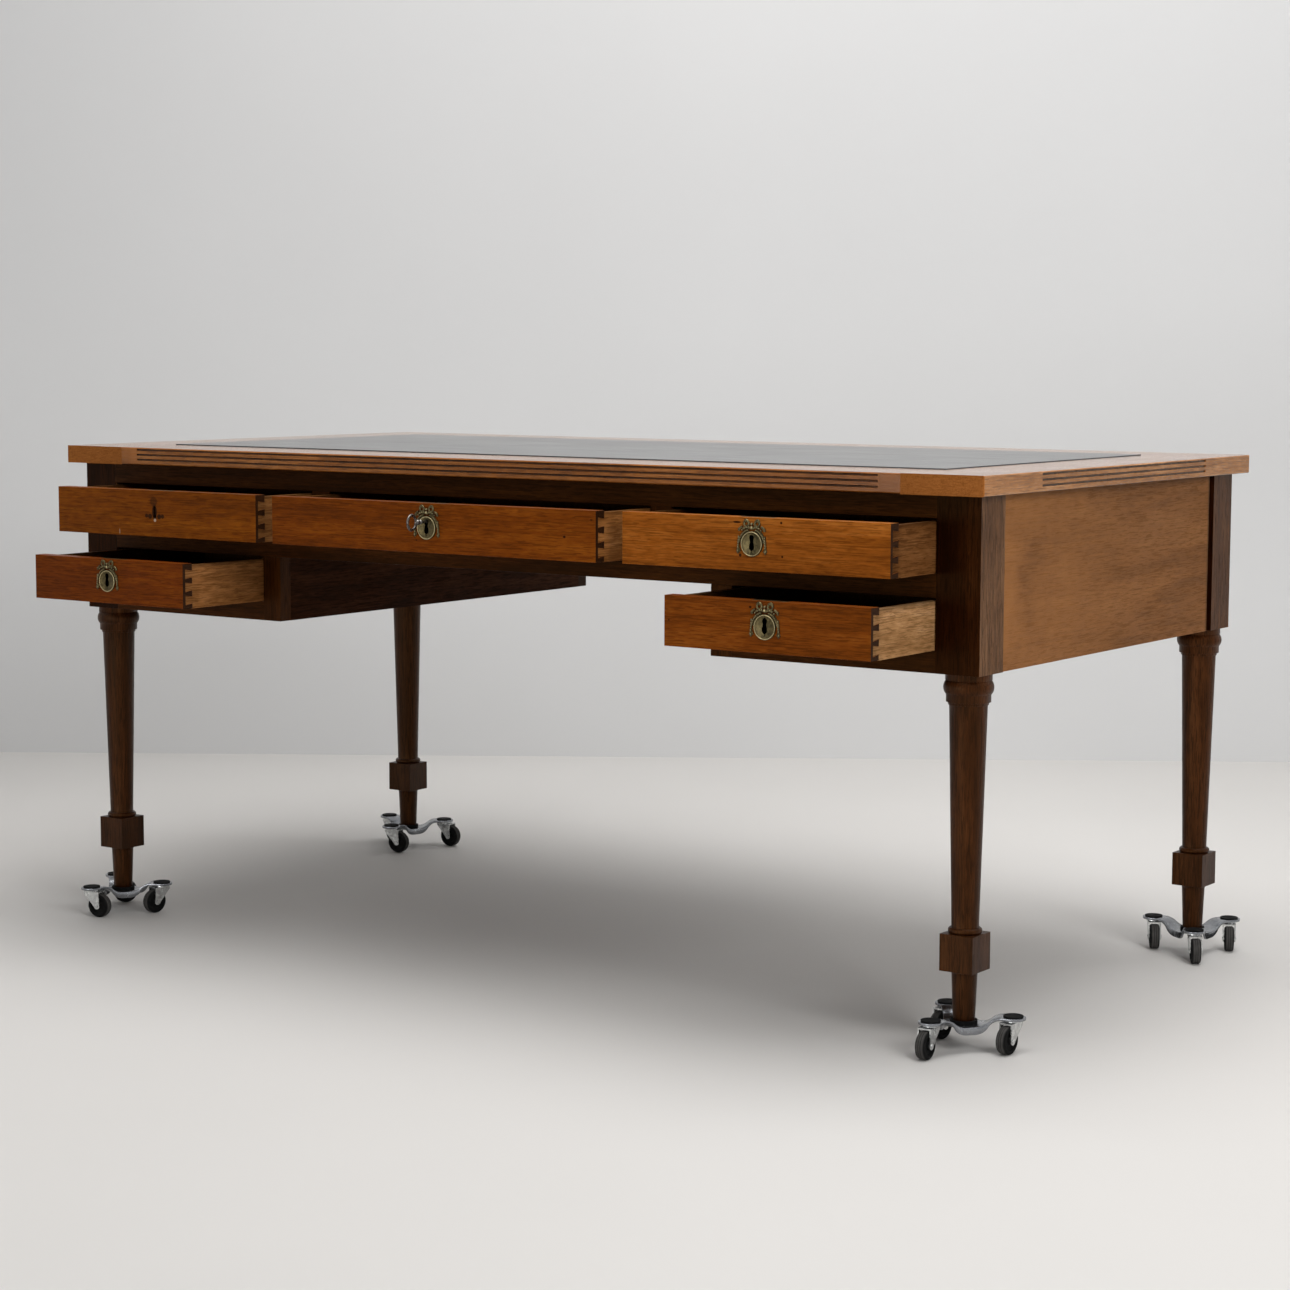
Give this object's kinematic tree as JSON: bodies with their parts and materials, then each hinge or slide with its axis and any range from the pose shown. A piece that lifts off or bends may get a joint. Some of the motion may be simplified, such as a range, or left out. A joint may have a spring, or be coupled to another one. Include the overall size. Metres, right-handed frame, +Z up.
{
  "type": "partners desk",
  "caption": "Long mahogany partners desk with framed writing surface, drawers that slide on both sides, turned legs, brass key plates and a working lock, standing on castor dollies.",
  "frame": {"origin": "on the floor, under the middle of the box that the desk takes up with its drawers as they stand", "axes": "+X along the desk's length to the right of someone who sits at the front, +Y to the rear side, +Z up"},
  "size_m": [1.7992, 1.0562, 0.7985],
  "materials": {
    "mahogany": "waxed",
    "dark_mahogany": "waxed",
    "pale_wood": "raw",
    "writing_sheet": "satin",
    "brass": "aged",
    "key_steel": "worn",
    "grey_paint": "satin",
    "rubber": "matte",
    "zinc": "zinc plated",
    "wheel_black": "matte"
  },
  "bodies": {
    "desk": {"leg_front_left": "dark_mahogany", "leg_front_right": "dark_mahogany", "leg_back_left": "dark_mahogany", "leg_back_right": "dark_mahogany", "top_border": "mahogany", "top_panel": "mahogany", "writing_surface": "writing_sheet", "side_panel_left": "mahogany", "side_panel_right": "mahogany", "front_rails": "dark_mahogany", "back_rails": "dark_mahogany", "inner_boards": "pale_wood", "dolly_plates": "grey_paint", "dolly_rubbers": "rubber"},
    "front_drawer_upper_left": {"drawer_front_upper_left": "mahogany", "drawer_box_upper_left": "pale_wood", "lock_upper_left": "brass"},
    "front_drawer_upper_centre": {"drawer_front_upper_centre": "mahogany", "drawer_box_upper_centre": "pale_wood", "lock_upper_centre": "brass"},
    "front_drawer_upper_right": {"drawer_front_upper_right": "mahogany", "drawer_box_upper_right": "pale_wood", "lock_upper_right": "brass"},
    "front_drawer_lower_left": {"drawer_front_lower_left": "mahogany", "drawer_box_lower_left": "pale_wood", "lock_lower_left": "brass"},
    "front_drawer_lower_right": {"drawer_front_lower_right": "mahogany", "drawer_box_lower_right": "pale_wood", "lock_lower_right": "brass"},
    "rear_drawer_upper_left": {"back_drawer_upper_left": "mahogany"},
    "rear_drawer_upper_centre": {"back_drawer_upper_centre": "mahogany"},
    "rear_drawer_upper_right": {"back_drawer_upper_right": "mahogany"},
    "rear_drawer_lower_left": {"back_drawer_lower_left": "mahogany"},
    "rear_drawer_lower_right": {"back_drawer_lower_right": "mahogany"},
    "key": {"key": "key_steel"},
    "bolt": {"lock_bolt": "key_steel"},
    "swivel_front_left_1": {"castor_fork_front_left_1": "zinc"},
    "wheel_front_left_1": {"castor_wheel_front_left_1": "wheel_black"},
    "swivel_front_left_2": {"castor_fork_front_left_2": "zinc"},
    "wheel_front_left_2": {"castor_wheel_front_left_2": "wheel_black"},
    "swivel_front_left_3": {"castor_fork_front_left_3": "zinc"},
    "wheel_front_left_3": {"castor_wheel_front_left_3": "wheel_black"},
    "swivel_front_right_1": {"castor_fork_front_right_1": "zinc"},
    "wheel_front_right_1": {"castor_wheel_front_right_1": "wheel_black"},
    "swivel_front_right_2": {"castor_fork_front_right_2": "zinc"},
    "wheel_front_right_2": {"castor_wheel_front_right_2": "wheel_black"},
    "swivel_front_right_3": {"castor_fork_front_right_3": "zinc"},
    "wheel_front_right_3": {"castor_wheel_front_right_3": "wheel_black"},
    "swivel_back_left_1": {"castor_fork_back_left_1": "zinc"},
    "wheel_back_left_1": {"castor_wheel_back_left_1": "wheel_black"},
    "swivel_back_left_2": {"castor_fork_back_left_2": "zinc"},
    "wheel_back_left_2": {"castor_wheel_back_left_2": "wheel_black"},
    "swivel_back_left_3": {"castor_fork_back_left_3": "zinc"},
    "wheel_back_left_3": {"castor_wheel_back_left_3": "wheel_black"},
    "swivel_back_right_1": {"castor_fork_back_right_1": "zinc"},
    "wheel_back_right_1": {"castor_wheel_back_right_1": "wheel_black"},
    "swivel_back_right_2": {"castor_fork_back_right_2": "zinc"},
    "wheel_back_right_2": {"castor_wheel_back_right_2": "wheel_black"},
    "swivel_back_right_3": {"castor_fork_back_right_3": "zinc"},
    "wheel_back_right_3": {"castor_wheel_back_right_3": "wheel_black"}
  },
  "joints": [
    {"name": "front_drawer_upper_left_slide", "type": "slide", "parent": "desk", "child": "front_drawer_upper_left", "axis": [0, -1, 0], "range_m": [-0.13, 0.14]},
    {"name": "front_drawer_upper_centre_slide", "type": "slide", "parent": "desk", "child": "front_drawer_upper_centre", "axis": [0, -1, 0], "range_m": [-0.134, 0.136]},
    {"name": "front_drawer_upper_right_slide", "type": "slide", "parent": "desk", "child": "front_drawer_upper_right", "axis": [0, -1, 0], "range_m": [-0.1225, 0.1475]},
    {"name": "front_drawer_lower_left_slide", "type": "slide", "parent": "desk", "child": "front_drawer_lower_left", "axis": [0, -1, 0], "range_m": [-0.183, 0.087]},
    {"name": "front_drawer_lower_right_slide", "type": "slide", "parent": "desk", "child": "front_drawer_lower_right", "axis": [0, -1, 0], "range_m": [-0.171, 0.099]},
    {"name": "rear_drawer_upper_left_slide", "type": "slide", "parent": "desk", "child": "rear_drawer_upper_left", "axis": [0, 1, 0], "range_m": [0, 0.27]},
    {"name": "rear_drawer_upper_centre_slide", "type": "slide", "parent": "desk", "child": "rear_drawer_upper_centre", "axis": [0, 1, 0], "range_m": [0, 0.27]},
    {"name": "rear_drawer_upper_right_slide", "type": "slide", "parent": "desk", "child": "rear_drawer_upper_right", "axis": [0, 1, 0], "range_m": [0, 0.27]},
    {"name": "rear_drawer_lower_left_slide", "type": "slide", "parent": "desk", "child": "rear_drawer_lower_left", "axis": [0, 1, 0], "range_m": [0, 0.27]},
    {"name": "rear_drawer_lower_right_slide", "type": "slide", "parent": "desk", "child": "rear_drawer_lower_right", "axis": [0, 1, 0], "range_m": [0, 0.27]},
    {"name": "key_turn", "type": "hinge", "parent": "front_drawer_upper_centre", "child": "key", "pos_m": [0, -0.47628, 0.70785], "axis": [0, 1, 0], "range_deg": [0, 180]},
    {"name": "bolt_throw", "type": "slide", "parent": "front_drawer_upper_centre", "child": "bolt", "axis": [0, 0, 1], "range_m": [0, 0.008]},
    {"name": "swivel_front_left_1_turn", "type": "hinge", "parent": "desk", "child": "swivel_front_left_1", "pos_m": [-0.75448, -0.27804, 0.045], "axis": [0, 0, 1], "continuous": true},
    {"name": "wheel_front_left_1_roll", "type": "hinge", "parent": "swivel_front_left_1", "child": "wheel_front_left_1", "pos_m": [-0.75699, -0.29384, 0.02], "axis": [0.9877, -0.1564, 0], "continuous": true},
    {"name": "swivel_front_left_2_turn", "type": "hinge", "parent": "desk", "child": "swivel_front_left_2", "pos_m": [-0.8737, -0.2697, 0.045], "axis": [0, 0, 1], "continuous": true},
    {"name": "wheel_front_left_2_roll", "type": "hinge", "parent": "swivel_front_left_2", "child": "wheel_front_left_2", "pos_m": [-0.86259, -0.25819, 0.02], "axis": [-0.7193, 0.6947, 0], "continuous": true},
    {"name": "swivel_front_left_3_turn", "type": "hinge", "parent": "desk", "child": "swivel_front_left_3", "pos_m": [-0.82131, -0.37712, 0.045], "axis": [0, 0, 1], "continuous": true},
    {"name": "wheel_front_left_3_roll", "type": "hinge", "parent": "swivel_front_left_3", "child": "wheel_front_left_3", "pos_m": [-0.80561, -0.37406, 0.02], "axis": [-0.1908, 0.9816, 0], "continuous": true},
    {"name": "swivel_front_right_1_turn", "type": "hinge", "parent": "desk", "child": "swivel_front_right_1", "pos_m": [0.88212, -0.28696, 0.045], "axis": [0, 0, 1], "continuous": true},
    {"name": "wheel_front_right_1_roll", "type": "hinge", "parent": "swivel_front_right_1", "child": "wheel_front_right_1", "pos_m": [0.88101, -0.30292, 0.02], "axis": [0.9976, -0.0698, 0], "continuous": true},
    {"name": "swivel_front_right_2_turn", "type": "hinge", "parent": "desk", "child": "swivel_front_right_2", "pos_m": [0.76522, -0.26211, 0.045], "axis": [0, 0, 1], "continuous": true},
    {"name": "wheel_front_right_2_roll", "type": "hinge", "parent": "swivel_front_right_2", "child": "wheel_front_right_2", "pos_m": [0.76327, -0.27799, 0.02], "axis": [0.9925, -0.1219, 0], "continuous": true},
    {"name": "swivel_front_right_3_turn", "type": "hinge", "parent": "desk", "child": "swivel_front_right_3", "pos_m": [0.80215, -0.37578, 0.045], "axis": [0, 0, 1], "continuous": true},
    {"name": "wheel_front_right_3_roll", "type": "hinge", "parent": "swivel_front_right_3", "child": "wheel_front_right_3", "pos_m": [0.80299, -0.39175, 0.02], "axis": [0.9986, 0.0523, 0], "continuous": true},
    {"name": "swivel_back_left_1_turn", "type": "hinge", "parent": "desk", "child": "swivel_back_left_1", "pos_m": [-0.76522, 0.49889, 0.045], "axis": [0, 0, 1], "continuous": true},
    {"name": "wheel_back_left_1_roll", "type": "hinge", "parent": "swivel_back_left_1", "child": "wheel_back_left_1", "pos_m": [-0.74923, 0.49944, 0.02], "axis": [-0.0349, 0.9994, 0], "continuous": true},
    {"name": "swivel_back_left_2_turn", "type": "hinge", "parent": "desk", "child": "swivel_back_left_2", "pos_m": [-0.88212, 0.47404, 0.045], "axis": [0, 0, 1], "continuous": true},
    {"name": "wheel_back_left_2_roll", "type": "hinge", "parent": "swivel_back_left_2", "child": "wheel_back_left_2", "pos_m": [-0.86667, 0.4699, 0.02], "axis": [0.2588, 0.9659, 0], "continuous": true},
    {"name": "swivel_back_left_3_turn", "type": "hinge", "parent": "desk", "child": "swivel_back_left_3", "pos_m": [-0.80215, 0.38522, 0.045], "axis": [0, 0, 1], "continuous": true},
    {"name": "wheel_back_left_3_roll", "type": "hinge", "parent": "swivel_back_left_3", "child": "wheel_back_left_3", "pos_m": [-0.7864, 0.388, 0.02], "axis": [-0.1736, 0.9848, 0], "continuous": true},
    {"name": "swivel_back_right_1_turn", "type": "hinge", "parent": "desk", "child": "swivel_back_right_1", "pos_m": [0.85408, 0.51058, 0.045], "axis": [0, 0, 1], "continuous": true},
    {"name": "wheel_back_right_1_roll", "type": "hinge", "parent": "swivel_back_right_1", "child": "wheel_back_right_1", "pos_m": [0.86109, 0.4962, 0.02], "axis": [0.8988, 0.4384, 0], "continuous": true},
    {"name": "swivel_back_right_2_turn", "type": "hinge", "parent": "desk", "child": "swivel_back_right_2", "pos_m": [0.7476, 0.45633, 0.045], "axis": [0, 0, 1], "continuous": true},
    {"name": "wheel_back_right_2_roll", "type": "hinge", "parent": "swivel_back_right_2", "child": "wheel_back_right_2", "pos_m": [0.7556, 0.44247, 0.02], "axis": [0.866, 0.5, 0], "continuous": true},
    {"name": "swivel_back_right_3_turn", "type": "hinge", "parent": "desk", "child": "swivel_back_right_3", "pos_m": [0.84783, 0.39124, 0.045], "axis": [0, 0, 1], "continuous": true},
    {"name": "wheel_back_right_3_roll", "type": "hinge", "parent": "swivel_back_right_3", "child": "wheel_back_right_3", "pos_m": [0.85607, 0.37752, 0.02], "axis": [0.8572, 0.515, 0], "continuous": true}
  ],
  "couplings": [
    {"joint": "key_turn", "follows": "bolt_throw", "rad_per_m": 392.7}
  ]
}
